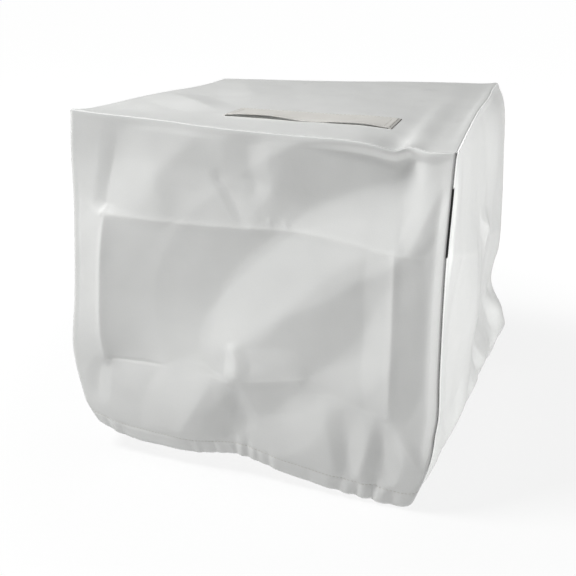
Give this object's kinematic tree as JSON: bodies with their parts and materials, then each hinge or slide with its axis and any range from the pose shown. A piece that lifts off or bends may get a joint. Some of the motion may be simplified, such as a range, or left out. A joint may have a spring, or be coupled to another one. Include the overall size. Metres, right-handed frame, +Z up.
{
  "type": "ice maker cover",
  "caption": "Fitted box cover of coated cloth with a slotted top, a narrow flap over the slot, four creased walls and a gathered hem; hollow, open below.",
  "frame": {"origin": "underside of the top, at its centre, where the cover lies on what it covers", "axes": "+X to the right seen from the front, +Y to the back, +Z up"},
  "size_m": [0.5293, 0.4792, 0.46],
  "materials": {
    "cover_cloth": "pale grey coated cloth, fine weave, satin",
    "flap_cloth": "pale grey coated cloth with a faint warm tint at its raw edge"
  },
  "bodies": {
    "root": {"top_panel": "cover_cloth", "front_panel": "cover_cloth", "right_panel": "cover_cloth", "back_panel": "cover_cloth", "left_panel": "cover_cloth", "slot_flap": "flap_cloth"}
  },
  "joints": []
}
